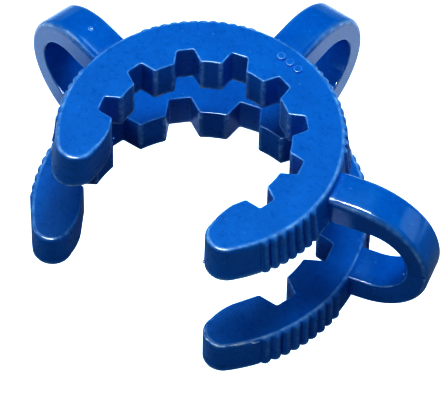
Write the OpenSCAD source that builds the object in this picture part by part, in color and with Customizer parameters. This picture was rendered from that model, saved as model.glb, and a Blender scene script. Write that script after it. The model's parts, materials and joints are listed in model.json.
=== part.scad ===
// Spring clip for a conical glass joint, moulded in one piece.
// Two open rings, a small one above a large one, held apart by three folded
// straps. Axis of both bores = Z, mouth of the rings toward -Y,
// z = 0 is the underside of the large ring, on which the clip rests.

/* [Rings] */
// Inside diameter across the teeth of the small (upper) ring, mm
small_bore_d = 17.6; // [15.6:0.1:19.6]
// Inside diameter across the teeth of the large (lower) ring, mm
large_bore_d = 23.5; // [20.5:0.1:26.5]
// Radial width of the small ring from tooth face to outer wall, mm
small_wall = 5.2; // [4.2:0.1:6.2]
// Radial width of the large ring from tooth face to outer wall, mm
large_wall = 4.9; // [4.1:0.1:5.9]
// Thickness of the small ring, mm
small_t = 4.4; // [3.4:0.1:5.4]
// Thickness of the large ring, mm
large_t = 4.2; // [3.2:0.1:5.2]
// Clear height between the two rings, mm
ring_gap = 7.9; // [6.4:0.1:9.4]
// Extra outer radius of the small ring at its underside (mould draft), mm
small_flare = 0.35; // [0.1:0.05:0.5]
// Rounding of the upper ring edges, mm
edge_r = 0.4; // [0.2:0.05:0.6]

/* [Teeth] */
// Number of notches between the teeth
notch_n = 8; // [6:2:8]
// Angle from one notch to the next, degrees
notch_pitch = 30.15; // [28:0.05:31]
// Angle a notch spans at the tooth faces, degrees
notch_mouth_a = 16.6; // [14:0.1:19]
// Angle a notch spans at its floor, degrees
notch_floor_a = 9; // [7:0.1:11]
// Depth of the notches of the small ring, mm
small_notch = 1.55; // [1.2:0.05:1.9]
// Depth of the notches of the large ring, mm
large_notch = 1.95; // [1.5:0.05:2.3]

/* [Mouth] */
// Radius of the rounded ring ends, mm
tip_r = 2; // [1.7:0.05:2.1]
// Angle from the back of the clip to the rounded ends of the small ring, degrees
small_tip_a = 131.7; // [129:0.1:135]
// Angle from the back of the clip to the rounded ends of the large ring, degrees
large_tip_a = 134.3; // [132:0.1:137]
// Angle the last tooth face keeps past the last notch of the small ring, degrees
small_land_a = 9; // [7:0.1:11]
// Angle the last tooth face keeps past the last notch of the large ring, degrees
large_land_a = 14; // [11:0.1:15]

/* [Grip ribs] */
// Angle from one grip rib to the next on the small ring, degrees
small_rib_pitch = 4.05; // [3.8:0.05:4.6]
// Angle from one grip rib to the next on the large ring, degrees
large_rib_pitch = 3.8; // [3.5:0.05:4]
// Height of the ribs above the ring wall, mm
rib_h = 0.35; // [0.2:0.05:0.5]
// Width of a rib at the wall, mm
rib_w = 0.72; // [0.6:0.02:0.8]
// Number of ribs of the small ring in each row between two straps
small_rear_rib_n = 12; // [8:1:12]
// Number of ribs of the large ring in each row between two straps
large_rear_rib_n = 13; // [9:1:13]
// Number of ribs of the small ring in each row between a strap and the mouth
small_front_rib_n = 7; // [5:1:7]
// Number of ribs of the large ring in each row between a strap and the mouth
large_front_rib_n = 9; // [6:1:9]

/* [Straps] */
// Angle from the rear strap to each side strap, degrees
strap_a = 75.5; // [74:0.5:78]
// Width of a strap, mm
strap_w = 4; // [3.2:0.1:4.8]
// How far the straps stand out past the wall of the large ring, mm
strap_out = 7.85; // [6.85:0.05:10.35]
// Thickness of a strap at its outermost point, mm
strap_t = 2.2; // [1.7:0.1:2.7]
// Step from the top of the small ring down to a strap, mm
strap_drop = 0.85; // [0.6:0.05:1.2]
// Step from the underside of the large ring up to a strap, mm
strap_lift = 1; // [0.6:0.05:1.4]
// Rounding along the outer edges of a strap, mm
strap_edge_r = 0.5; // [0.3:0.05:0.7]

/* [Hidden] */
clip_blue = [0.05, 0.42, 0.78];
small_r = small_bore_d / 2;
large_r = large_bore_d / 2;
small_out = small_r + small_wall;
large_out = large_r + large_wall;
small_z = large_t + ring_gap;
clip_h = small_z + small_t;
tip_over = 0.03;
// angle of the last notch, and of the edge of the last tooth face after it
last_notch_a = (notch_n - 1) / 2 * notch_pitch;
last_face_a = last_notch_a + notch_mouth_a / 2;
// rows of ribs: middle angles
rear_row_a = strap_a / 2;
front_row_a = strap_a + 29.5;
// strap outline
strap_reach = large_out + strap_out;
fold_z = (strap_lift + clip_h - strap_drop) / 2 - 0.75;
fold_top_r = clip_h - strap_drop - fold_z;
fold_low_r = fold_z - strap_lift;
eye_step = 0.1;
eye_r = ring_gap / 2 + eye_step;
eye_s = strap_reach - strap_t - eye_r;
strap_root = 2.6;
// raised pips on the small ring
pip_r = 0.45;
pip_h = 0.2;
pip_pitch = 5.2;
over = 2;
eps = 0.01;
$fn = 96;

// Point at radius r and angle a, a = 0 at the back (+Y), growing toward +X.
function at(r, a) = [r * sin(a), r * cos(a)];

// Where the line from point p, running past circle (c, r) on the side of the
// bore axis, meets that circle. It dips in by a hair, so that the two cross.
function meet(p, c, r) =
    let (d = p - c, to_p = atan2(d[1], d[0]), turn = acos(0.985 * r / norm(d)))
    c + 0.985 * r * [cos(to_p + turn), sin(to_p + turn)];

// Section of a ring wall in (radius, height): inner face upright, outer face
// with draft, both upper edges rounded.
module ring_section(r_in, r_out, t, flare) {
    polygon([[r_in, 0], [r_in, t - edge_r], [r_in + edge_r, t],
             [r_out - edge_r, t], [r_out, t - edge_r], [r_out + flare, 0]]);
    translate([r_in + edge_r, t - edge_r]) circle(r = edge_r, $fn = 32);
    translate([r_out - edge_r, t - edge_r]) circle(r = edge_r, $fn = 32);
}

// One notch between two teeth, at the back, widening toward the bore.
module notch(r_in, depth, t) {
    r_floor = r_in + depth;
    y1 = r_in * cos(notch_mouth_a / 2);
    x1 = r_in * sin(notch_mouth_a / 2);
    y2 = r_floor * cos(notch_floor_a / 2);
    x2 = r_floor * sin(notch_floor_a / 2);
    widen = (x1 - x2) / (y2 - y1);
    x0 = x1 + widen * over;
    translate([0, 0, -over])
        linear_extrude(t + 2 * over)
            polygon([[-x0, y1 - over], [-x2, y2], [x2, y2], [x0, y1 - over]]);
}

// What is cut away at the mouth: all between the two rounded ring ends.
module mouth_cut(r_in, r_out, t, tip_a, land_a) {
    c_r = r_out + tip_over - tip_r;
    far = r_out + 2 * over;
    // the last tooth face ends here, then the edge runs to the rounded end
    face_end = last_face_a + land_a;
    corner = at(r_in, face_end);
    touch = meet(corner, at(c_r, tip_a), tip_r);
    lead = (corner - touch) / norm(corner - touch);
    right = [corner + lead, touch, at(c_r, tip_a), at(far, tip_a)];
    left = [for (i = [len(right) - 1 : -1 : 0]) [-right[i][0], right[i][1]]];
    translate([0, 0, -over])
        linear_extrude(t + 2 * over)
            difference() {
                polygon(concat(right, [[far, -far], [-far, -far]], left));
                for (s = [-1, 1])
                    translate(at(c_r, s * tip_a)) circle(r = tip_r);
            }
}

// Row of n rib blanks round the axis, its middle at angle a.
module rib_row(r_out, t, pitch, n, a) {
    for (i = [0 : n - 1])
        rotate([0, 0, -a - (i - (n - 1) / 2) * pitch])
            linear_extrude(t)
                polygon([[-rib_w / 2, r_out - 1], [-rib_w / 2, r_out],
                         [-rib_w / 4, r_out + 1], [rib_w / 4, r_out + 1],
                         [rib_w / 2, r_out], [rib_w / 2, r_out - 1]]);
}

// What the ribs fill: a band round the wall, sloping back to it at the top.
module rib_band(r_out, t, flare) {
    rotate_extrude()
        polygon([[r_out - 0.8, 0], [r_out - 0.8, t - edge_r],
                 [r_out - 0.3, t - 0.3 * edge_r],
                 [r_out + rib_h, t - edge_r - 0.6 * rib_h],
                 [r_out + rib_h + flare, 0]]);
}

// One open ring with teeth and rounded ends, standing on z = 0.
module open_ring(r_in, wall, t, flare, depth, tip_a, land_a) {
    r_out = r_in + wall;
    difference() {
        rotate_extrude() ring_section(r_in, r_out, t, flare);
        for (i = [0 : notch_n - 1])
            rotate([0, 0, -last_notch_a + i * notch_pitch]) notch(r_in, depth, t);
        mouth_cut(r_in, r_out, t, tip_a, land_a);
    }
}

// The grip ribs of one ring: four rows, none at the straps or at the mouth.
module grip_ribs(r_out, t, flare, pitch, rear_n, front_n) {
    intersection() {
        rib_band(r_out, t, flare);
        for (s = [-1, 1]) {
            rib_row(r_out, t, pitch, rear_n, s * rear_row_a);
            rib_row(r_out, t, pitch, front_n, s * front_row_a);
        }
    }
}

// Half section of a strap: len out from the fold centre, rounded outer edges.
module strap_section(len) {
    r = strap_edge_r;
    w = strap_w / 2;
    polygon([[0, -w], [len - r, -w], [len, -w + r], [len, w - r],
             [len - r, w], [0, w]]);
    for (s = [-1, 1])
        translate([len - r, s * (w - r)]) circle(r = r, $fn = 32);
}

// Quarter of a rounded disc: the outer bend of a strap, from the top or from
// below, turned so that it lies in the plane of the strap.
module strap_bend(r) {
    rotate([90, 0, 0]) rotate_extrude(angle = 90) strap_section(r);
}

// Straight limb from x1 out to x2, its rounded face at height h.
module strap_limb(x1, x2, h) {
    translate([x1, 0, 0])
        rotate([90, 0, 90]) linear_extrude(x2 - x1) rotate([0, 0, 90]) strap_section(h);
}

// One strap pointing along +X: it leaves the small ring, folds over and comes
// back to the large ring.
module strap() {
    top_s = strap_reach - fold_top_r;
    low_s = strap_reach - fold_low_r;
    difference() {
        translate([0, 0, fold_z]) {
            translate([top_s, 0, 0]) strap_bend(fold_top_r);
            strap_limb(small_out - strap_root, top_s, fold_top_r);
            mirror([0, 0, 1]) {
                translate([low_s, 0, 0]) strap_bend(fold_low_r);
                strap_limb(large_out - strap_root, low_s, fold_low_r);
            }
        }
        // the eye between the limbs, a hair higher than the gap between the rings
        translate([0, 0, large_t - eye_step + eye_r]) {
            translate([eye_s, 0, 0])
                rotate([90, 0, 0]) cylinder(h = 2 * strap_w, r = eye_r, center = true);
            translate([0, -strap_w, -eye_r]) cube([eye_s, 2 * strap_w, 2 * eye_r]);
        }
    }
}

// Three plain round pips on top of the small ring, beside the rear strap.
module pips() {
    for (i = [0 : 2])
        translate(concat(at(small_out - 1.7, 3 + i * pip_pitch), [clip_h - eps]))
            cylinder(h = pip_h + eps, r = pip_r, $fn = 32);
}

module clip() {
    color(clip_blue) {
        translate([0, 0, small_z]) {
            open_ring(small_r, small_wall, small_t, small_flare, small_notch,
                      small_tip_a, small_land_a);
            grip_ribs(small_out, small_t, small_flare, small_rib_pitch,
                      small_rear_rib_n, small_front_rib_n);
        }
        open_ring(large_r, large_wall, large_t, 0, large_notch,
                  large_tip_a, large_land_a);
        grip_ribs(large_out, large_t, 0, large_rib_pitch,
                  large_rear_rib_n, large_front_rib_n);
        for (a = [-strap_a, 0, strap_a]) rotate([0, 0, 90 - a]) strap();
        pips();
    }
}

clip();
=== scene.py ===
# %% [markdown]
# # A plastic spring clip for a ground glass joint
# The real clip is moulded in one shot from a springy blue plastic. Two open
# rings, a small one above a large one, snap over the two halves of a conical
# glass joint, and three folded straps pull the rings together. The packed
# model gives the sizes. This lesson builds the same body again with softer
# edges, rounded grip ribs and the small marks that a mould leaves.

# %% Load the fixed model
import json
import math

import bmesh
import bpy
from mathutils import Matrix, Vector, noise

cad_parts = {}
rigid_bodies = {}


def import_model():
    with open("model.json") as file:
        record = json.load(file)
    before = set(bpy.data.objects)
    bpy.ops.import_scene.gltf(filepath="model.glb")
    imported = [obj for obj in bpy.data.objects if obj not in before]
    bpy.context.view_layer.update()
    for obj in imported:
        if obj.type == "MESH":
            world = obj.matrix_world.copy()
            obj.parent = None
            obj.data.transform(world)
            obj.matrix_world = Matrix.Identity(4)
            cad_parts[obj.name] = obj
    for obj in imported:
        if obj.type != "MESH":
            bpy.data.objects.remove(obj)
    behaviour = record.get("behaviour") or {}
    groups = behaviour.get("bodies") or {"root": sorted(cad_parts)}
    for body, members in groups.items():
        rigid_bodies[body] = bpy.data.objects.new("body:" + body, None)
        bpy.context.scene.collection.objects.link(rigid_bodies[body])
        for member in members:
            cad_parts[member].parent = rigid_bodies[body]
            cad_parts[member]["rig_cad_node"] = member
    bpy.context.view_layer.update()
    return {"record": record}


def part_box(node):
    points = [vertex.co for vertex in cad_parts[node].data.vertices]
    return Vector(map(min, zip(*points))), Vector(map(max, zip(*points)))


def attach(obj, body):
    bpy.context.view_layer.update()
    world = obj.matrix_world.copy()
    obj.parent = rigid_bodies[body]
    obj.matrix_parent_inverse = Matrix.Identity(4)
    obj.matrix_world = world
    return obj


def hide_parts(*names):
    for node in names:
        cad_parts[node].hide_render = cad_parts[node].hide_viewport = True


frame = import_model()
clip_lo, clip_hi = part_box("clip")
print("clip size in mm:", [round(1000 * s, 2) for s in clip_hi - clip_lo])

# %% [markdown]
# ## Sizes
# A maker works from a short list of sizes, and the rest follows from it. The
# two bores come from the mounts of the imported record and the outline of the
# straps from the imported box, so the visual body can't drift away from the
# measured one. The body stays a thousandth inside that box. The work below is
# in millimetres and degrees. Angles start at the back of the clip and grow
# toward its right side, and one scale near the end turns millimetres into
# metres.

# %% The sizes of the clip
MM = 0.001
bores = {m["name"]: m["dims"]["r_mm"]
         for m in frame["record"]["mounts"] if m["kind"] == "clamp"}
SMALL_BORE, LARGE_BORE = bores["small_grip"], bores["large_grip"]
SMALL_WALL, LARGE_WALL = 5.2, 4.9
SMALL_OUT, LARGE_OUT = SMALL_BORE + SMALL_WALL, LARGE_BORE + LARGE_WALL
SMALL_THICK, LARGE_THICK, RING_GAP = 4.4, 4.2, 7.9
SMALL_FLOOR = LARGE_THICK + RING_GAP
CLIP_TOP = SMALL_FLOOR + SMALL_THICK
STRAP_ANGLE, STRAP_WIDTH = 75.5, 4.0
INSIDE_BOX = 0.001
STRAP_REACH = clip_hi.y / MM - INSIDE_BOX
print("small ring", SMALL_BORE, SMALL_OUT, "large ring", LARGE_BORE, LARGE_OUT,
      "top", CLIP_TOP, "strap reach", round(STRAP_REACH, 2))

# %% [markdown]
# ## A helper for Geometry Nodes
# A node tree written in code is easier to read when each step is one line.
# This small class keeps the tree, adds a node, and feeds each of its inputs
# either from another node's output or with a plain number. Every tree ends
# the same way: instances become real geometry, and it gets its material.

# %% A short hand for node trees
plastic = bpy.data.materials.new("moulded_blue_plastic")


class Recipe:
    """A Geometry Nodes tree that is written one step at a time."""

    def __init__(self, name, **sizes):
        self.tree = bpy.data.node_groups.new(name, "GeometryNodeTree")
        face = self.tree.interface
        face.new_socket("Blank", in_out="INPUT", socket_type="NodeSocketGeometry")
        for label, start in {**sizes, "Finish": "Material"}.items():
            kind = {float: "Float", int: "Int", str: start}[type(start)]
            made = face.new_socket(label.replace("_", " "), in_out="INPUT",
                                   socket_type="NodeSocket" + kind)
            if not isinstance(start, str):
                made.default_value = start
        face.new_socket("Part", in_out="OUTPUT", socket_type="NodeSocketGeometry")
        self.given = self.tree.nodes.new("NodeGroupInput").outputs
        self.out = self.tree.nodes.new("NodeGroupOutput")

    def feed(self, socket, value):
        if isinstance(value, bpy.types.NodeSocket):
            self.tree.links.new(value, socket)
        else:
            socket.default_value = value

    def node(self, kind, *values, settings=None, **named):
        made = self.tree.nodes.new(kind)
        for key, value in (settings or {}).items():
            setattr(made, key, value)
        shown = [s for s in made.inputs if s.enabled]
        for socket, value in zip(shown, values):
            if value is not None:
                self.feed(socket, value)
        for label, value in named.items():
            label = label.replace("_", " ")
            self.feed(next(s for s in shown if s.name == label), value)
        return made

    def step(self, kind, *values, settings=None, **named):
        made = self.node(kind, *values, settings=settings, **named)
        return next(s for s in made.outputs if s.enabled)

    def math(self, operation, *values):
        return self.step("ShaderNodeMath", *values, settings={"operation": operation})

    def vector(self, operation, *values):
        return self.step("ShaderNodeVectorMath", *values,
                         settings={"operation": operation})

    def read(self, label, kind="FLOAT"):
        return self.step("GeometryNodeInputNamedAttribute", label,
                         settings={"data_type": kind})

    def store(self, part, label, value, kind="FLOAT"):
        made = self.node("GeometryNodeStoreNamedAttribute",
                         settings={"data_type": kind, "domain": "POINT"})
        self.feed(made.inputs["Geometry"], part)
        self.feed(made.inputs["Name"], label)
        self.feed(made.inputs["Value"], value)
        return made.outputs[0]

    def join(self, *parts):
        made = self.tree.nodes.new("GeometryNodeJoinGeometry")
        for part in parts:
            self.tree.links.new(part, made.inputs[0])
        return made.outputs[0]

    def finish(self, part):
        """Ends the tree: real geometry instead of instances, and a material."""
        part = self.step("GeometryNodeRealizeInstances", part)
        part = self.node("GeometryNodeSetMaterial", part,
                         Material=self.given["Finish"]).outputs[0]
        self.tree.links.new(part, self.out.inputs[0])


def table_mesh(name, rows, labels, closed):
    """A line of points with a number for each label at each point."""
    mesh = bpy.data.meshes.new(name)
    count = len(rows)
    edges = [(i, i + 1) for i in range(count - 1)] + [(count - 1, 0)] * closed
    mesh.from_pydata([(r[0], r[1], 0.0) for r in rows], edges, [])
    for column, label in enumerate(labels, 2):
        layer = mesh.attributes.new(label, "FLOAT", "POINT")
        layer.data.foreach_set("value", [float(r[column]) for r in rows])
    obj = bpy.data.objects.new(name, mesh)
    bpy.context.scene.collection.objects.link(obj)
    return obj


def run_recipe(obj, recipe, name, **values):
    """Runs a tree on an object and returns the result as a plain new object."""
    modifier = obj.modifiers.new(name, "NODES")
    modifier.node_group = recipe.tree
    sockets = {s.name: s.identifier for s in recipe.tree.interface.items_tree
               if s.item_type == "SOCKET" and s.in_out == "INPUT"}
    for label, value in {**values, "Finish": plastic}.items():
        modifier[sockets[label.replace("_", " ")]] = value
    obj.update_tag()
    graph = bpy.context.evaluated_depsgraph_get()
    graph.update()
    mesh = bpy.data.meshes.new_from_object(obj.evaluated_get(graph), depsgraph=graph)
    mesh.name = name
    obj.modifiers.remove(modifier)
    made = bpy.data.objects.new(name, mesh)
    bpy.context.scene.collection.objects.link(made)
    print(name, len(mesh.vertices), "points", len(mesh.polygons), "faces")
    return made


# %% [markdown]
# ## The outline of a ring
# Seen from above, each ring is one closed line. It runs round the outer wall,
# turns about a rounded end, follows a last plain tooth face, and then steps
# in and out of eight notches. Drawing the line from the few numbers that rule
# it, instead of cutting a disc, keeps every corner under control. Each point
# also carries how much its corner and its top edge are to be rounded.

# %% Draw the outline of a ring
NOTCHES, NOTCH_PITCH, NOTCH_MOUTH, NOTCH_FLOOR = 8, 30.15, 16.6, 9.0
SMALL_DEPTH, LARGE_DEPTH = 1.55, 1.95
SMALL_TIP, LARGE_TIP = 131.7, 134.3
SMALL_LAND, LARGE_LAND = 9.0, 14.0
TIP_R, LAND_STEPS, TIP_STEPS = 2.0, 8, 26
OUTER_STEP = 0.36
OUTLINE_LABELS = ("corner", "edge", "flare", "outer", "ridge")
TOOTH_CORNER, FLOOR_CORNER, LAND_CORNER = 0.3, 0.24, 1.2
SOFT_EDGE, CRISP_EDGE = 0.42, 0.17
TIP_BULGE = 0.14
RIDGE_REACH = 0.45


def at(radius, angle):
    a = math.radians(angle)
    return Vector((radius * math.sin(a), radius * math.cos(a)))


def tip_points(bore_r, out_r, tip_angle, face_end):
    """From the last tooth face round the right tip, up to the outer wall."""
    centre, corner = at(out_r - TIP_R, tip_angle), at(bore_r, face_end)
    toward = corner - centre
    begin = math.atan2(toward.y, toward.x) + math.acos(TIP_R / toward.length)
    end = math.pi / 2 - math.radians(tip_angle) + 2 * math.pi
    touch = centre + TIP_R * Vector((math.cos(begin), math.sin(begin)))
    side = Vector((corner.y - touch.y, touch.x - corner.x)).normalized()
    rows = [(*corner, LAND_CORNER, CRISP_EDGE, 0, 0, 0)]
    for i in range(1, LAND_STEPS):
        t = i / LAND_STEPS
        p = corner.lerp(touch, t) - side * TIP_BULGE * 4 * t * (1 - t)
        rows.append((*p, 0, CRISP_EDGE + (SOFT_EDGE - CRISP_EDGE) * t, 0, 0, 0))
    for i in range(TIP_STEPS + 1):
        a = begin + (end - begin) * i / TIP_STEPS
        share = max(0.0, math.cos(end - a)) * 0.75 + 0.25 * (i / TIP_STEPS) ** 0.5
        p = centre + TIP_R * Vector((math.cos(a), math.sin(a)))
        rows.append((*p, 0, SOFT_EDGE, share, 0, 0))
    return rows


def ring_outline(name, bore_r, out_r, depth, tip_angle, land):
    last_notch = (NOTCHES - 1) / 2 * NOTCH_PITCH
    face_end = last_notch + NOTCH_MOUTH / 2 + land
    right = tip_points(bore_r, out_r, tip_angle, face_end)
    rows = list(right)
    steps = round(2 * tip_angle / OUTER_STEP)
    for i in range(1, steps):
        p = at(out_r, tip_angle - 2 * tip_angle * i / steps)
        rows.append((*p, 0, SOFT_EDGE, 1, 1, 0))
    rows += [(-r[0], *r[1:]) for r in reversed(right)]
    for n in range(NOTCHES):
        middle = -last_notch + n * NOTCH_PITCH
        first, low, high, last = (
            at(bore_r, middle - NOTCH_MOUTH / 2),
            at(bore_r + depth, middle - NOTCH_FLOOR / 2),
            at(bore_r + depth, middle + NOTCH_FLOOR / 2),
            at(bore_r, middle + NOTCH_MOUTH / 2))
        near = RIDGE_REACH / (low - first).length
        # A ridge of 1 at each tooth corner paints a pale line down that corner, a
        # painted highlight.
        rows += [(*first, TOOTH_CORNER, CRISP_EDGE, 0, 0, 1),
                 (*first.lerp(low, near), 0, CRISP_EDGE, 0, 0, 0),
                 (*low, FLOOR_CORNER, CRISP_EDGE, 0, 0, 0),
                 (*high, FLOOR_CORNER, CRISP_EDGE, 0, 0, 0),
                 (*last.lerp(high, near), 0, CRISP_EDGE, 0, 0, 0),
                 (*last, TOOTH_CORNER, CRISP_EDGE, 0, 0, 1)]
        if n < NOTCHES - 1:
            reach = math.degrees(RIDGE_REACH / bore_r)
            tooth = NOTCH_PITCH - NOTCH_MOUTH
            for a in (reach, 0.3 * tooth, 0.5 * tooth, 0.7 * tooth, tooth - reach):
                rows.append((*at(bore_r, middle + NOTCH_MOUTH / 2 + a),
                             0, CRISP_EDGE, 0, 0, 0))
    return table_mesh(name, rows, OUTLINE_LABELS, closed=True)


small_line = ring_outline("small_line", SMALL_BORE, SMALL_OUT, SMALL_DEPTH,
                          SMALL_TIP, SMALL_LAND)
large_line = ring_outline("large_line", LARGE_BORE, LARGE_OUT, LARGE_DEPTH,
                          LARGE_TIP, LARGE_LAND)
print("outline points:", len(small_line.data.vertices), len(large_line.data.vertices))

# %% [markdown]
# ## The outline of a strap
# Seen from the side, a strap is a closed line too: out along the top limb,
# round a wide fold, back along the lower limb, and then round the inside of
# the eye. The outer edges are soft, and softer still along the top limb, and
# the edges of the eye are crisp.

# %% Draw the outline of a strap
FOLD_Z, TOP_LIMB, LOW_LIMB = 7.575, CLIP_TOP - 0.85, 1.0
EYE_Z, EYE_R, STRAP_THICK, STRAP_ROOT = 8.15, 4.05, 2.2, 2.6
STRAP_SOFT, STRAP_WORN, STRAP_CRISP = 0.5, 0.8, 0.2


def arc(cx, cy, r, begin, end, count):
    for i in range(count + 1):
        a = math.radians(begin + (end - begin) * i / count)
        yield cx + r * math.cos(a), cy + r * math.sin(a)


def strap_outline(name):
    top_r, low_r = TOP_LIMB - FOLD_Z, FOLD_Z - LOW_LIMB
    eye_x = STRAP_REACH - STRAP_THICK - EYE_R
    outside = [(LARGE_OUT - STRAP_ROOT, LOW_LIMB)]
    outside += list(arc(STRAP_REACH - low_r, FOLD_Z, low_r, -90, 0, 28))
    outside += list(arc(STRAP_REACH - top_r, FOLD_Z, top_r, 0, 90, 32))[1:]
    outside += [(SMALL_OUT - STRAP_ROOT, TOP_LIMB)]
    inside = [(SMALL_OUT - STRAP_ROOT, EYE_Z + EYE_R)]
    inside += list(arc(eye_x, EYE_Z, EYE_R, 90, -90, 40))
    inside += [(LARGE_OUT - STRAP_ROOT, EYE_Z - EYE_R)]
    rows = []
    for x, y in outside:
        upper = min(1.0, max(0.0, (y - FOLD_Z) / top_r * 2.5 - 1.5))
        rows.append((x, y, 0, STRAP_SOFT + (STRAP_WORN - STRAP_SOFT) * upper, 0, 0, 0))
    rows += [(x, y, 0, STRAP_CRISP, 0, 0, 0) for x, y in inside]
    return table_mesh(name, rows, OUTLINE_LABELS, closed=True)


strap_line = strap_outline("strap_line")
print("strap outline points:", len(strap_line.data.vertices))

# %% [markdown]
# ## The profile of a wall
# Rings and straps are plates: an outline with a thickness. What makes a plate
# look moulded is its edge, so the wall's profile is drawn once as a table.
# Each row says how far the wall stands in from the outline and how high it
# is, partly in millimetres and partly in units of the local edge rounding.
# The ring ribs fade out just below the top edge, which the last columns say.

# %% Tabulate the wall profiles
PROFILE_LABELS = ("inset_edge", "inset_mm", "top", "up_mm", "up_edge",
                  "rib_share", "flare_share", "rim", "upright")
FILLET_STEPS = 6
# The rim column paints each rounded edge pale. Part of this is wear, and most of it is a
# painted highlight along the top of the fillet.
FILLET_WEAR_AND_HIGHLIGHT = (0, 0.08, 0.2, 0.5, 1, 0.7, 0)
CAP_INSET = 1.22
FOOT, FOOT_TOE = 0.16, 1.3


def rounded(side):
    """The rows of a rounded edge: side 1 is the upper one, 0 the lower one."""
    rows = []
    for i in range(FILLET_STEPS + 1):
        a = math.pi / 2 * i / FILLET_STEPS
        wear_and_highlight = FILLET_WEAR_AND_HIGHLIGHT[i]
        rows.append((1 - math.cos(a), 0, side, 0,
                     (math.sin(a) - 1) * (1 if side else -1), 0, 1 - side, wear_and_highlight,
                     math.cos(a)))
    rows.append((CAP_INSET, 0, side, 0, 0, 0, 1 - side, 0, 0))
    return rows if side else rows[::-1]


def ring_profile():
    # The foot rows paint a pale line along the lower edge. It is a painted highlight
    # standing for light from below, with some wear.
    corner = ((FOOT_TOE, 0, 0), (1, 0, 2), (0.3, 0.3, 2), (0, 1, 2))
    rows = [(0, FOOT * inset, 0, FOOT * up, 0, 1, 1, wear_and_highlight, wear_and_highlight)
            for inset, up, wear_and_highlight in corner]
    rows.append((0, 0, 0, 2.2 * FOOT, 0, 1, 0.93, 0.5, 1))
    rows.append((0, 0, 0, 4 * FOOT, 0, 1, 0.8, 0, 1))
    rows.append((0, 0, 0, 1.6, 0, 1, 0.5, 0, 1))
    rows += [(0, 0, 1, -below, -1, share, 0.12, 0, 1)
             for below, share in ((0.45, 1), (0.25, 0.97), (0.1, 0.9))]
    crown = rounded(1)
    for i, share in enumerate((0.82, 0.7, 0.52, 0.32, 0.14, 0.04)):
        crown[i] = (*crown[i][:5], share, 0.0, *crown[i][7:])
    return rows + crown


def place(rows):
    """Lays the rows out along X, so that the profile is a line to sweep."""
    return [(i, 0, *row) for i, row in enumerate(rows)]


ring_wall = table_mesh("ring_wall", place(ring_profile()), PROFILE_LABELS, False)
strap_wall = table_mesh("strap_wall", place(rounded(0) + rounded(1)),
                        PROFILE_LABELS, False)
print("profile rows:", len(ring_wall.data.vertices), len(strap_wall.data.vertices))

# %% [markdown]
# ## One recipe for every plate
# The tree rounds the corners of the outline, sweeps the wall profile along
# it, and then puts every point where the tables say. The grip ribs are not
# separate pieces: they are a wave round the outer wall, worked out from the
# angle of each point, as a mould maker cuts them. Two filled caps close the
# plate, and merging the doubles makes it one watertight skin.

# %% Build the plate recipe
RIB_ROUNDNESS, RIB_SINK, CREST_WEAR_AND_HIGHLIGHT = 0.62, 0.36, 0.45
plate = Recipe(
    "plate", Profile="Object", Thickness=1.0, Flare=0.0, Rib_height=0.0,
    Rib_pitch=4.0, Rear_ribs=12, Front_ribs=7, Rear_middle=37.75,
    Front_middle=105.0, Foot_inset=0.0, Foot_edge=0.0, Head_edge=CAP_INSET)
g = plate.given
line = plate.step("GeometryNodeMeshToCurve", g["Blank"])
line = plate.node("GeometryNodeFilletCurve", line, settings={"mode": "POLY"},
                  Count=5, Radius=plate.read("corner"), Limit_Radius=True).outputs[0]
tangent = plate.step("GeometryNodeInputTangent")
outward = plate.vector("NORMALIZE", plate.vector("CROSS_PRODUCT", tangent, (0, 0, 1)))
spot = plate.step("GeometryNodeInputPosition")

# the angle of a point from the back of the clip, without its sign
axes = plate.node("ShaderNodeSeparateXYZ", spot).outputs
angle = plate.math("ABSOLUTE", plate.math(
    "MULTIPLY", plate.math("ARCTAN2", axes[0], axes[1]), 180 / math.pi))


def rib_row(count, middle):
    """1 inside a row of ribs, times the height of a rounded rib."""
    turns = plate.math("DIVIDE", plate.math("SUBTRACT", angle, middle), g["Rib pitch"])
    half = plate.math("MULTIPLY", count, 0.5)
    inside = plate.math("LESS_THAN", plate.math("ABSOLUTE", turns), half)
    phase = plate.math("FRACT", plate.math("ADD", turns, plate.math("ADD", half, 64.0)))
    hump = plate.math("POWER", plate.math(
        "SINE", plate.math("MULTIPLY", phase, math.pi)), RIB_ROUNDNESS)
    return plate.math("MULTIPLY", inside, plate.math("SUBTRACT", hump, RIB_SINK))


ribs = plate.math("ADD", rib_row(g["Rear ribs"], g["Rear middle"]),
                  rib_row(g["Front ribs"], g["Front middle"]))
ribs = plate.math("MULTIPLY", plate.math("MULTIPLY", ribs, plate.read("outer")),
                  g["Rib height"])
line = plate.store(line, "rail", spot, "FLOAT_VECTOR")
line = plate.store(line, "outward", outward, "FLOAT_VECTOR")
# The rib crests are painted pale as well, partly as wear and partly as a painted
# highlight.
crest = plate.step("ShaderNodeMapRange", ribs, plate.math(
    "MULTIPLY", g["Rib height"], 0.5), plate.math("MULTIPLY", g["Rib height"], 0.66),
    0.0, CREST_WEAR_AND_HIGHLIGHT)
line = plate.store(line, "ridge", plate.math("MAXIMUM", plate.math(
    "MULTIPLY", crest, plate.read("outer")), plate.read("ridge")))
line = plate.store(line, "ribs", ribs)

profile = plate.node("GeometryNodeObjectInfo", g["Profile"]).outputs["Geometry"]
profile = plate.step("GeometryNodeMeshToCurve", profile)
wall = plate.step("GeometryNodeCurveToMesh", line, profile)
# rim: how pale each point is painted. It stands partly for wear and partly for a painted
# highlight on edges, tooth corners and rib crests.
wall = plate.store(wall, "rim", plate.math("MAXIMUM", plate.read("rim"), plate.math(
    "MULTIPLY", plate.read("upright"), plate.read("ridge"))))

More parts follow.
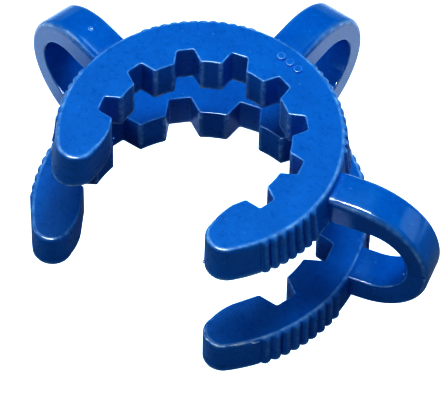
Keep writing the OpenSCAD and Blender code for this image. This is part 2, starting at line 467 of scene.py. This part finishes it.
inset = plate.math("ADD", plate.math(
    "MULTIPLY", plate.read("inset_edge"), plate.read("edge")), plate.read("inset_mm"))
flare = plate.math("MULTIPLY", plate.math(
    "MULTIPLY", plate.read("flare_share"), plate.read("flare")), g["Flare"])
raised = plate.math("MULTIPLY", plate.read("rib_share"), plate.read("ribs"))
stand = plate.math("SUBTRACT", plate.math("ADD", flare, raised), inset)
rise = plate.math("ADD", plate.math("MULTIPLY", plate.read("top"), g["Thickness"]),
                  plate.math("ADD", plate.read("up_mm"), plate.math(
                      "MULTIPLY", plate.read("up_edge"), plate.read("edge"))))


def moved(stand, rise):
    """A place beside the rail, as far out as stand and as high as rise."""
    out = plate.node("ShaderNodeVectorMath", settings={"operation": "SCALE"})
    plate.feed(out.inputs[0], plate.read("outward", "FLOAT_VECTOR"))
    plate.feed(out.inputs["Scale"], stand)
    up = plate.step("ShaderNodeCombineXYZ", 0.0, 0.0, rise)
    return plate.vector("ADD", plate.vector(
        "ADD", plate.read("rail", "FLOAT_VECTOR"), out.outputs[0]), up)


wall = plate.node("GeometryNodeSetPosition", wall,
                  Position=moved(stand, rise)).outputs[0]


def cap(edge_share, inset_mm, lift, flare=None):
    back = plate.math("ADD", plate.math("MULTIPLY", plate.read("edge"), edge_share),
                      inset_mm)
    stand = plate.math("MULTIPLY", back, -1.0)
    if flare is not None:
        stand = plate.math("ADD", stand, flare)
    edge = plate.node("GeometryNodeSetPosition", line, Position=moved(stand, 0.0))
    flat = plate.step("GeometryNodeFillCurve", edge.outputs[0],
                      settings={"mode": "TRIANGLES"})
    up = plate.step("ShaderNodeCombineXYZ", 0.0, 0.0, lift)
    return plate.node("GeometryNodeTransform", flat, Translation=up).outputs[0]


foot_flare = plate.math("ADD", plate.math("MULTIPLY", plate.read("flare"), g["Flare"]),
                        plate.read("ribs"))
foot = cap(g["Foot edge"], g["Foot inset"], 0.0, foot_flare)
head = cap(g["Head edge"], 0.0, g["Thickness"])
skin = plate.join(plate.step("GeometryNodeFlipFaces", wall),
                  plate.step("GeometryNodeFlipFaces", foot), head)
skin = plate.node("GeometryNodeMergeByDistance", skin, Distance=0.002).outputs[0]
plate.finish(skin)
print("plate recipe:", len(plate.tree.nodes), "nodes")

# %% [markdown]
# ## Two rings and a strap from one recipe
# The same tree makes all three, because each is a plate with its own outline
# and thickness. Only the numbers differ: the small ring is wider at its foot,
# and each ring has its own rows of ribs.

# %% Sweep the two rings and the strap
small_plate = run_recipe(
    small_line, plate, "small_plate", Profile=ring_wall, Thickness=SMALL_THICK,
    Flare=0.45, Rib_height=0.36, Rib_pitch=4.05, Rear_ribs=12, Front_ribs=7,
    Rear_middle=37.75, Front_middle=105.0, Foot_inset=FOOT * FOOT_TOE)
large_plate = run_recipe(
    large_line, plate, "large_plate", Profile=ring_wall, Thickness=LARGE_THICK,
    Flare=0.0, Rib_height=0.38, Rib_pitch=3.8, Rear_ribs=13, Front_ribs=9,
    Rear_middle=37.75, Front_middle=105.0, Foot_inset=FOOT * FOOT_TOE)
strap_plate = run_recipe(
    strap_line, plate, "strap_plate", Profile=strap_wall, Thickness=STRAP_WIDTH,
    Foot_edge=CAP_INSET)

# %% [markdown]
# ## Small marks that the mould leaves
# Moulded parts are never as clean as their drawing. This clip has a cut-off
# gate on its left strap, a parting line across the end of the right one, three
# specks of flash, and a ragged bead of flash along the upper edge of the large
# ring's right end. Three plain pips stand where the real clip has a raised
# marking, which is left out. Each is a tiny solid of its own, made here and
# melted into the body, or cut out of it, in a later step.

# %% Make the pips and the gate
DISC_STEPS = 28
PIP_SUNK = 0.3


def disc_outline(name, half_x, half_y, edge):
    rows = [(half_x * math.cos(2 * math.pi * i / DISC_STEPS),
             half_y * math.sin(2 * math.pi * i / DISC_STEPS), 0, edge, 0, 0, 0)
            for i in range(DISC_STEPS)]
    return table_mesh(name, rows, OUTLINE_LABELS, closed=True)


PIP_HEIGHT = clip_hi.z / MM - CLIP_TOP - INSIDE_BOX
pip_line = disc_outline("pip_line", 0.45, 0.45, 0.13)
gate_line = disc_outline("gate_line", 0.4, 0.27, 0.06)
pip_plate = run_recipe(pip_line, plate, "pip_plate", Profile=strap_wall,
                       Thickness=PIP_HEIGHT + PIP_SUNK, Foot_edge=CAP_INSET)
gate_plate = run_recipe(gate_line, plate, "gate_plate", Profile=strap_wall,
                        Thickness=0.3, Foot_edge=CAP_INSET)
print("pips", round(PIP_HEIGHT, 2), "mm high")

# %% [markdown]
# ## Flash
# Melt that creeps between mould parts sets as a thin ragged edge. Here it is
# a round bar swept along the end of the large ring, its thickness and its
# distance from the wall both varied by a smooth noise, which never changes
# from run to run. The three specks are small balls on chosen points.

# %% Make the flash
BEAD_ANGLE, BEAD_FIRST, BEAD_ON_WALL, BEAD_OUT_FROM = 127.8, 12, 24, 34
bead_rows = []
bead_path = tip_points(LARGE_BORE, LARGE_OUT, LARGE_TIP, BEAD_ANGLE)[BEAD_FIRST:]
bead_path += [(*at(LARGE_OUT, LARGE_TIP - 0.7 * i), 0, 0, 0, 0) for i in range(1, 17)]
tip_middle = at(LARGE_OUT - TIP_R, LARGE_TIP)
for i, row in enumerate(bead_path):
    ragged = noise.noise(Vector((i * 0.45, 3.1, 0)))
    out = Vector(row[:2]) - tip_middle if i < BEAD_ON_WALL else Vector(row[:2])
    lean = (0.24 if i > BEAD_OUT_FROM else 0.0) - 0.14 + 0.06 * ragged
    p = Vector(row[:2]) + out.normalized() * lean
    taper = min(1.0, i / 8, (len(bead_path) - i) / 3)
    bead_rows.append((*p, taper * (0.11 + 0.09 * ragged), 1.4))
# The rim column paints the bead pale like the edges, partly as wear and partly as a
# painted highlight.
bead_line = table_mesh("bead_line", bead_rows, ("thick", "rim"), closed=False)

bead = Recipe("bead", Lift=LARGE_THICK - 0.06)
path = bead.step("GeometryNodeMeshToCurve", bead.given["Blank"])
lift = bead.step("ShaderNodeCombineXYZ", 0.0, 0.0, bead.given["Lift"])
path = bead.node("GeometryNodeTransform", path, Translation=lift).outputs[0]
round_bar = bead.node("GeometryNodeCurvePrimitiveCircle", Resolution=8,
                      Radius=1.0).outputs[0]
bead.finish(bead.node("GeometryNodeCurveToMesh", path, round_bar, Fill_Caps=True,
                      Scale=bead.read("thick")).outputs[0])
bead_part = run_recipe(bead_line, bead, "bead_part")

NIBS = ((7.42, -9.36, 12.18, 0.17), (-7.95, -3.5, 13.1, 0.11),
        (21.9, 3.62, 7.7, 0.13))
# The specks are painted pale the same way, partly as wear and partly as a painted
# highlight.
nib_points = table_mesh("nib_points", [(*nib, 1) for nib in NIBS],
                        ("high", "size", "rim"), closed=False)
nibs = Recipe("nibs", Detail=3)
nib_lift = nibs.step("ShaderNodeCombineXYZ", 0.0, 0.0, nibs.read("high"))
spots = nibs.node("GeometryNodeSetPosition", nibs.given["Blank"],
                  Offset=nib_lift).outputs[0]
speck = nibs.node("GeometryNodeMeshIcoSphere", Radius=1.0,
                  Subdivisions=nibs.given["Detail"]).outputs[0]
spots = nibs.node("GeometryNodeInstanceOnPoints", spots, Instance=speck,
                  Scale=nibs.read("size")).outputs[0]
nibs.finish(spots)
nib_part = run_recipe(nib_points, nibs, "nib_part")
print("flash:", len(bead_rows), "points along the bead and", len(NIBS), "specks")

# %% [markdown]
# ## One solid from all the pieces
# The moulded clip is one piece, so its mesh is one closed skin as well. This
# recipe stands the strap upright, repeats it at three angles, and lets a
# boolean union melt straps, rings, pips and flash together. A second boolean
# cuts the parting line and the pit of the gate. Booleans leave crisp inner
# corners where a strap meets a ring, which is how the real steps look.

# %% Build the assembly recipe
# The gate pit is painted nearly white through its rim number.
PIT_R, PIT_PALE, PIT_ABOVE = 0.26, 2.0, 0.33
PARTING_CUT, PARTING_REACH, PARTING_LEAN = (3.6, 0.15, 0.15), 23.4, -15
assembly = Recipe(
    "assembly", Small_ring="Object", Large_ring="Object", Strap="Object",
    Pip="Object", Gate="Object", Bead="Object", Nibs="Object",
    Ring_lift=SMALL_FLOOR, Strap_count=3, Strap_angle=STRAP_ANGLE,
    Strap_width=STRAP_WIDTH, Pip_count=3, Pip_radius=SMALL_OUT - 1.7,
    Pip_pitch=5.2, Gate_reach=17.24, Gate_height=TOP_LIMB - 0.25,
    Parting_height=7.95)
g = assembly.given


def part_of(label):
    return assembly.node("GeometryNodeObjectInfo", g[label]).outputs["Geometry"]


def shifted(part, x=0.0, y=0.0, z=0.0, turn=(0.0, 0.0, 0.0)):
    place = assembly.step("ShaderNodeCombineXYZ", x, y, z)
    return assembly.node("GeometryNodeTransform", part, Translation=place,
                         Rotation=turn).outputs[0]


small = shifted(part_of("Small ring"), z=g["Ring lift"])
half_width = assembly.math("MULTIPLY", g["Strap width"], 0.5)
strap = shifted(part_of("Strap"), z=assembly.math("MULTIPLY", half_width, -1.0))
strap = shifted(strap, turn=(math.pi / 2, 0, 0))

# three points at the axis, each turned toward its strap
centre = assembly.node("GeometryNodePoints", Count=g["Strap count"]).outputs[0]
index = assembly.step("GeometryNodeInputIndex")
turn = assembly.math("MULTIPLY", assembly.math("SUBTRACT", index, 1.0),
                     g["Strap angle"])
turn = assembly.step("ShaderNodeCombineXYZ", 0.0, 0.0, assembly.math(
    "RADIANS", assembly.math("SUBTRACT", 90.0, turn)))


def at_each_strap(part):
    made = assembly.node("GeometryNodeInstanceOnPoints", centre, Instance=part,
                         Rotation=turn)
    return assembly.step("GeometryNodeRealizeInstances", made.outputs[0])


# the pips stand in a short row beside the rear strap
pip_turn = assembly.math("RADIANS", assembly.math("ADD", assembly.math(
    "MULTIPLY", index, g["Pip pitch"]), 3.0))
pip_spot = assembly.step(
    "ShaderNodeCombineXYZ",
    assembly.math("MULTIPLY", assembly.math("SINE", pip_turn), g["Pip radius"]),
    assembly.math("MULTIPLY", assembly.math("COSINE", pip_turn), g["Pip radius"]),
    CLIP_TOP - PIP_SUNK)
pips = assembly.node("GeometryNodePoints", Count=g["Pip count"],
                     Position=pip_spot).outputs[0]
pips = assembly.node("GeometryNodeInstanceOnPoints", pips,
                     Instance=part_of("Pip")).outputs[0]
pips = assembly.step("GeometryNodeRealizeInstances", pips)

# the gate sits on the left strap, its pit a little off its middle
to_left = (0, 0, math.radians(90 + STRAP_ANGLE))
gate = shifted(part_of("Gate"), x=g["Gate reach"], z=g["Gate height"])
gate = shifted(gate, turn=to_left)
pit = assembly.node("GeometryNodeMeshIcoSphere", Radius=PIT_R,
                    Subdivisions=3).outputs[0]
pit = shifted(pit, x=g["Gate reach"], y=0.03,
              z=assembly.math("ADD", g["Gate height"], PIT_ABOVE))
pit = shifted(assembly.store(pit, "rim", PIT_PALE), turn=to_left)

# a thin square bar, standing on its edge, cuts each side of the parting line
bar = assembly.node("GeometryNodeMeshCube", Size=PARTING_CUT).outputs[0]
bar = shifted(bar, turn=(math.radians(45), 0, 0))
bar = shifted(bar, turn=(0, math.radians(PARTING_LEAN), 0))
sides = [shifted(bar, x=PARTING_REACH, y=y, z=g["Parting height"])
         for y in (half_width, assembly.math("MULTIPLY", half_width, -1.0))]
partings = shifted(assembly.join(*sides), turn=(0, 0, math.radians(90 - STRAP_ANGLE)))


def boolean(operation, base, others):
    made = assembly.node("GeometryNodeMeshBoolean",
                         settings={"operation": operation, "solver": "MANIFOLD"})
    if base is not None:
        assembly.tree.links.new(base, made.inputs["Mesh 1"])
    for part in others:
        assembly.tree.links.new(part, made.inputs["Mesh 2"])
    return made.outputs[0]


whole = boolean("UNION", None, (small, part_of("Large ring"), at_each_strap(strap),
                                pips, gate, part_of("Bead"), part_of("Nibs")))
whole = boolean("DIFFERENCE", whole, (partings, pit))
assembly.finish(assembly.node("GeometryNodeTransform", whole,
                              Scale=(MM, MM, MM)).outputs[0])
print("assembly recipe:", len(assembly.tree.nodes), "nodes")

# %% [markdown]
# ## Run the assembly and check it
# A tree needs an object to sit on, so it runs on a blank that holds one point
# and the plastic. What comes out is a plain mesh at its true place and size.
# A closed skin has exactly two faces at each edge, and its volume is positive
# when the faces point outwards, so both are counted here.

# %% Run it, then check the skin
blank = table_mesh("blank", [(0, 0)], (), closed=False)
blank.data.materials.append(plastic)
clip = run_recipe(blank, assembly, "moulded_clip", Small_ring=small_plate,
                  Large_ring=large_plate, Strap=strap_plate, Pip=pip_plate,
                  Gate=gate_plate, Bead=bead_part, Nibs=nib_part)
makers = [o for o in bpy.context.scene.objects
          if o.type == "MESH" and o != clip and "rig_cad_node" not in o]
for maker in makers:
    bpy.data.objects.remove(maker)

skin = bmesh.new()
skin.from_mesh(clip.data)
open_edges = sum(1 for edge in skin.edges if len(edge.link_faces) != 2)
print("open edges:", open_edges, "volume mm3:",
      round(skin.calc_volume(signed=True) / MM ** 3, 1))
skin.free()

# %% [markdown]
# ## Shading
# Rounded edges are meant to look smooth and the corners where straps meet
# rings are meant to look sharp. One angle tells them apart. The numbers that
# the trees left at each point are dropped, except "rim", which the plastic
# reads later to know where to paint an edge pale, as wear and as a painted highlight.

# %% Shade soft edges softly and keep inner corners crisp
SHARP_ANGLE = 38
for polygon in clip.data.polygons:
    polygon.use_smooth = True
clip.data.set_sharp_from_angle(angle=math.radians(SHARP_ANGLE))
spare = [a.name for a in clip.data.attributes
         if a.domain == "POINT" and a.name not in ("position", "rim")
         and not a.name.startswith(".")]
for label in spare:
    clip.data.attributes.remove(clip.data.attributes[label])
print("shaded", clip.name, "with", len(clip.data.materials), "material")

# %% [markdown]
# ## The camera
# A long lens from far away keeps parallel edges nearly parallel, which suits a
# small part. The camera looks down from the front right. Its distance is
# counted in outer radii of the small ring, from the middle of that ring's
# top face, and it is turned a touch about its own line of sight.

# %% Set the camera
AZIMUTH, ELEVATION, ROLL = 35.78, 54.37, 1.07
LENS_RATIO, SENSOR = 11.002143, 36.0
AWAY, ASIDE, BELOW = 33.95, 0.16, 0.48
unit = SMALL_OUT * MM
a, e, t = (math.radians(x) for x in (AZIMUTH, ELEVATION, ROLL))
back = Vector((math.sin(a) * math.cos(e), -math.cos(a) * math.cos(e), math.sin(e)))
level = Vector((math.cos(a), math.sin(a), 0))
steep = back.cross(level)
side = math.cos(t) * level + math.sin(t) * steep
top = -math.sin(t) * level + math.cos(t) * steep
camera = bpy.data.objects.new("camera", bpy.data.cameras.new("camera"))
bpy.context.scene.collection.objects.link(camera)
camera.location = Vector((0, 0, CLIP_TOP * MM)) + unit * (
    AWAY * back + ASIDE * side - BELOW * top)
camera.rotation_euler = Matrix((side, top, back)).transposed().to_euler()
camera.data.sensor_width = SENSOR
camera.data.lens = LENS_RATIO * SENSOR
camera.data.clip_start, camera.data.clip_end = 0.01, 10
bpy.context.scene.camera = camera
print("camera lens mm", round(camera.data.lens, 1))

# %% [markdown]
# ## A helper for materials
# A material is a tree of nodes as well, so it gets the same kind of helper.
# Each method adds one node and feeds it, and a finish can then be read as a
# list of decisions: a cloud of tone here, a blend of two blues there.

# %% A short hand for materials


class Coat:
    """A material whose nodes are added one line at a time."""

    def __init__(self, material):
        material.use_nodes = True
        self.nodes, self.links = material.node_tree.nodes, material.node_tree.links
        self.shader = self.nodes["Principled BSDF"].inputs

    def feed(self, socket, value):
        if isinstance(value, bpy.types.NodeSocket):
            self.links.new(value, socket)
        else:
            socket.default_value = value

    def node(self, kind, settings=None, **inputs):
        made = self.nodes.new(kind)
        for key, value in (settings or {}).items():
            setattr(made, key, value)
        for label, value in inputs.items():
            self.feed(made.inputs[label.replace("_", " ")], value)
        return made

    def math(self, operation, *values):
        made = self.node("ShaderNodeMath", settings={"operation": operation})
        for socket, value in zip(made.inputs, values):
            self.feed(socket, value)
        return made.outputs[0]

    def spread(self, value, low, high, to_low, to_high):
        """Stretches the range low to high onto to_low to to_high."""
        return self.node("ShaderNodeMapRange", Value=value, From_Min=low, From_Max=high,
                         To_Min=to_low, To_Max=to_high).outputs["Result"]

    def cloud(self, place, scale, detail, rough):
        return self.node("ShaderNodeTexNoise", Vector=place, Scale=scale,
                         Detail=detail, Roughness=rough).outputs["Fac"]

    def blend(self, share, under, over):
        made = self.node("ShaderNodeMix", settings={"data_type": "RGBA"})
        for i, value in ((0, share), (6, under), (7, over)):
            self.feed(made.inputs[i], value)
        return made.outputs[2]


# %% [markdown]
# ## Blue moulded plastic
# The plastic is a deep, clean blue. Its tone drifts where the melt flowed, and
# its edges are painted a shade lighter, nearly white where the paint is
# strongest. This stands partly for scuffing and partly for a painted highlight
# where an edge would catch the light. Sparse pale flecks in the grain are painted
# glints. The tone comes from the place of a point in the piece, in millimetres,
# and the pale edges from the mesh's own "rim" numbers, so both stay put wherever
# the piece is seen from, and no picture with seams has to be wrapped round it.

# %% Mix the blue
DEEP_BLUE, LIGHT_BLUE = (0.0002, 0.176, 0.60, 1), (0.003, 0.262, 0.79, 1)
# These two colours paint the pale edges, partly as scuffing and partly as painted
# highlights.
SCUFF_AND_HIGHLIGHT_BLUE, WEAR_AND_HIGHLIGHT_WHITE = (0.26, 0.56, 1.0, 1), (0.75, 0.9, 1.0, 1)
coat = Coat(plastic)
object_place = coat.node("ShaderNodeTexCoord").outputs["Object"]
in_mm = coat.node("ShaderNodeMapping", Vector=object_place,
                  Scale=(1 / MM, 1 / MM, 1 / MM)).outputs["Vector"]
grain = coat.cloud(in_mm, 4.2, 2.0, 0.55)
drift = coat.cloud(in_mm, 0.35, 2.0, 0.5)
blotch = coat.cloud(in_mm, 1.6, 3.0, 0.55)
tone = coat.math("ADD", coat.spread(blotch, 0.3, 0.7, -0.5, 0.5),
                 coat.math("ADD", coat.spread(drift, 0.3, 0.7, -0.5, 0.5),
                           coat.spread(grain, 0.36, 0.7, -0.25, 0.9)))
ramp = coat.node("ShaderNodeValToRGB", Fac=coat.spread(tone, -1.6, 1.6, 0.0, 1.0))
ramp.color_ramp.elements[0].color = DEEP_BLUE
ramp.color_ramp.elements[1].color = LIGHT_BLUE

# rim says where an edge is painted pale, as wear and as a painted highlight.
rim = coat.node("ShaderNodeAttribute", settings={"attribute_name": "rim"}).outputs["Fac"]
patchy = coat.spread(coat.cloud(in_mm, 1.1, 3.0, 0.6), 0.38, 0.62, 0.3, 1.0)
wear_and_highlight = coat.math("MULTIPLY", rim, patchy)
# Sparse pale flecks in the grain are painted glints.
highlight_fleck = coat.spread(coat.cloud(in_mm, 2.6, 1.0, 0.5), 0.72, 0.78, 0.0, 0.45)
scuff_and_highlight = coat.blend(coat.math("MAXIMUM", wear_and_highlight, highlight_fleck), ramp.outputs["Color"],
                     SCUFF_AND_HIGHLIGHT_BLUE)
pale = coat.blend(coat.spread(wear_and_highlight, 0.8, 1.8, 0.0, 1.0), scuff_and_highlight, WEAR_AND_HIGHLIGHT_WHITE)
coat.feed(coat.shader["Base Color"], pale)
print("colour nodes:", len(coat.nodes))

# %% [markdown]
# ## Gloss and grain
# The skin is satin with a fine grain, and the straps are glossier than the
# rings. Faint rings like turning marks run round the large ring, at a guess
# from the mould. The straps are told from the rings by their distance
# from the bore axis, and the grain is a bump of a few hundredths of a
# millimetre, because it is far too fine to be worth real geometry.

# %% Set the gloss and the grain
STRAP_POLISH, PLASTIC_IOR = 0.13, 1.48
GRAIN_STRENGTH, GRAIN_DEPTH = 0.2, 0.00003
axis = coat.node("ShaderNodeSeparateXYZ", Vector=in_mm).outputs
reach = coat.math("SQRT", coat.math("ADD", coat.math("MULTIPLY", axis["X"], axis["X"]),
                                    coat.math("MULTIPLY", axis["Y"], axis["Y"])))
past_large = coat.spread(reach, LARGE_OUT + 0.3, LARGE_OUT + 0.8, 0, 1)
past_small = coat.math("MULTIPLY", coat.spread(axis["Z"], 5, 6, 0, 1),
                       coat.spread(reach, SMALL_OUT + 0.4, SMALL_OUT + 0.8, 0, 1))
on_strap = coat.math("MAXIMUM", past_large, past_small)
matt = coat.spread(blotch, 0.3, 0.7, 0.26, 0.33)
coat.feed(coat.shader["Roughness"],
          coat.math("SUBTRACT", matt, coat.math("MULTIPLY", on_strap, STRAP_POLISH)))
turned = coat.node("ShaderNodeTexWave", Vector=in_mm, Scale=0.9, Distortion=1.5,
                   Detail=2.0, settings={"wave_type": "RINGS", "rings_direction": "Z"})
turned = coat.math("MULTIPLY", turned.outputs["Fac"],
                   coat.spread(axis["Z"], 5, 7, 0.22, 0.0))
bump = coat.node("ShaderNodeBump", Strength=GRAIN_STRENGTH, Distance=GRAIN_DEPTH,
                 Height=coat.math("ADD", grain, turned))
coat.feed(coat.shader["Normal"], bump.outputs["Normal"])
coat.shader["IOR"].default_value = PLASTIC_IOR
print("plastic nodes:", len(coat.nodes))

# %% [markdown]
# ## The floor
# The clip lies on a plain sheet. To the camera the sheet is one even white.
# Its reflection in the plastic is another thing: a Light Path node gives every
# other ray a strip of glow that starts some 16 mm behind the bore axis, as the
# camera looks at it, and a dim floor elsewhere. It stands in for a white card
# on a dark table. An even glow is the plainer choice, but it lays a grey sheen
# over the front and inner walls. The sheet is also left out of bounced light,
# so the clip has no contact shadow.

# %% Lay the floor
SHEET_HALF, SHEET_DROP, SEEN_GLOW = 2.0, 0.0001, 1.3
TOWARD_CAMERA = (0.585, -0.811, 0.0)
PAPER = {"Base Color": (0.32, 0.32, 0.325, 1), "Roughness": 0.9,
         "Specular IOR Level": 0.0, "Emission Color": (0.66, 0.79, 1, 1)}
sheet_mesh = bpy.data.meshes.new("white_sheet")
sheet_mesh.from_pydata([(x * SHEET_HALF, y * SHEET_HALF, -SHEET_DROP)
                        for x, y in ((-1, -1), (1, -1), (1, 1), (-1, 1))],
                       [], [(0, 1, 2, 3)])
sheet = bpy.data.objects.new("white_sheet", sheet_mesh)
bpy.context.scene.collection.objects.link(sheet)
sheet.visible_diffuse = False
white_paper = bpy.data.materials.new("white_paper")
paper = Coat(white_paper)
for label, value in PAPER.items():
    paper.shader[label].default_value = value
along = paper.node("ShaderNodeVectorMath", settings={"operation": "DOT_PRODUCT"})
paper.feed(along.inputs[0], paper.node("ShaderNodeTexCoord").outputs["Object"])
paper.feed(along.inputs[1], TOWARD_CAMERA)
near_edge = paper.spread(along.outputs["Value"], -0.0160, -0.0105, 1.1, 0.04)
far_edge = paper.spread(along.outputs["Value"], -0.055, -0.030, 0.12, 1.0)
glow = paper.node("ShaderNodeMix")
paper.feed(glow.inputs[0], paper.node("ShaderNodeLightPath").outputs["Is Camera Ray"])
paper.feed(glow.inputs[2], paper.math("MULTIPLY", near_edge, far_edge))
paper.feed(glow.inputs[3], SEEN_GLOW)
paper.feed(paper.shader["Emission Strength"], glow.outputs[0])
sheet.data.materials.append(white_paper)
print("sheet:", 2 * SHEET_HALF, "m wide, nodes:", len(paper.nodes))

# %% [markdown]
# ## Studio light
# Nine soft lamps stand round the clip, and the strongest fill comes from
# behind. A lamp in Blender may work on the matt part of a surface, on its
# gloss, or on both. Three of these only fill, so that they leave no bright
# spot, and a long narrow one, the glint, shows only as the stripe along the
# right strap. No real lamp does that, so it is a studio trick, not a measured
# light. The white world fills the view behind the sheet but lights nothing.

# %% Set the lights
GLINT_WIDTH, WORLD_GLOW = 0.09, 0.8
LIGHTS = {
    # name: azimuth, elevation, distance, size, watts, what it does
    "overhead": (0, 90, 0.45, 0.30, 0.17, "both"),
    "key_back": (190, 62, 0.45, 0.20, 0.66, "fill only"),
    "back_left": (252, 62, 0.45, 0.20, 0.22, "both"),
    "glint": (6, 61, 0.45, 0.32, 4.5, "gloss only"),
    "high_right": (72, 42, 0.45, 0.15, 0.11, "fill only"),
    "low_right": (80, 15, 0.45, 0.22, 0.15, "fill only"),
    "low_front": (0, 15, 0.45, 0.22, 0.22, "both"),
    "low_left": (300, 15, 0.45, 0.22, 0.33, "both"),
    "low_back": (135, 15, 0.45, 0.22, 0.13, "both"),
}
aim = Vector((0, 0, 0.01))
for name, (azimuth, elevation, away, size, watts, work) in LIGHTS.items():
    a, e = math.radians(azimuth), math.radians(elevation)
    toward = Vector((math.sin(a) * math.cos(e), -math.cos(a) * math.cos(e),
                     math.sin(e)))
    data = bpy.data.lights.new(name, "AREA")
    data.shape, data.size, data.energy = "ELLIPSE", size, watts
    data.size_y = GLINT_WIDTH if work == "gloss only" else size
    lamp = bpy.data.objects.new(name, data)
    lamp.location = aim + toward * away
    lamp.rotation_euler = toward.to_track_quat("Z", "Y").to_euler()
    lamp.visible_glossy = work != "fill only"
    lamp.visible_diffuse = work != "gloss only"
    bpy.context.scene.collection.objects.link(lamp)

world = bpy.data.worlds.new("studio")
bpy.context.scene.world = world
world.use_nodes = True
world.node_tree.nodes["Background"].inputs["Color"].default_value = (1, 1, 1, 1)
world.node_tree.nodes["Background"].inputs["Strength"].default_value = WORLD_GLOW
world.cycles_visibility.diffuse = world.cycles_visibility.glossy = False
bpy.context.scene.view_settings.view_transform = "Standard"
bpy.context.scene.view_settings.look = "Very High Contrast"
print("lights:", ", ".join(LIGHTS))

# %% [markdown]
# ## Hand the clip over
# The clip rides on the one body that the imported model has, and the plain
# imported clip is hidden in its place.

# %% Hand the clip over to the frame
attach(clip, "root")
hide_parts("clip")
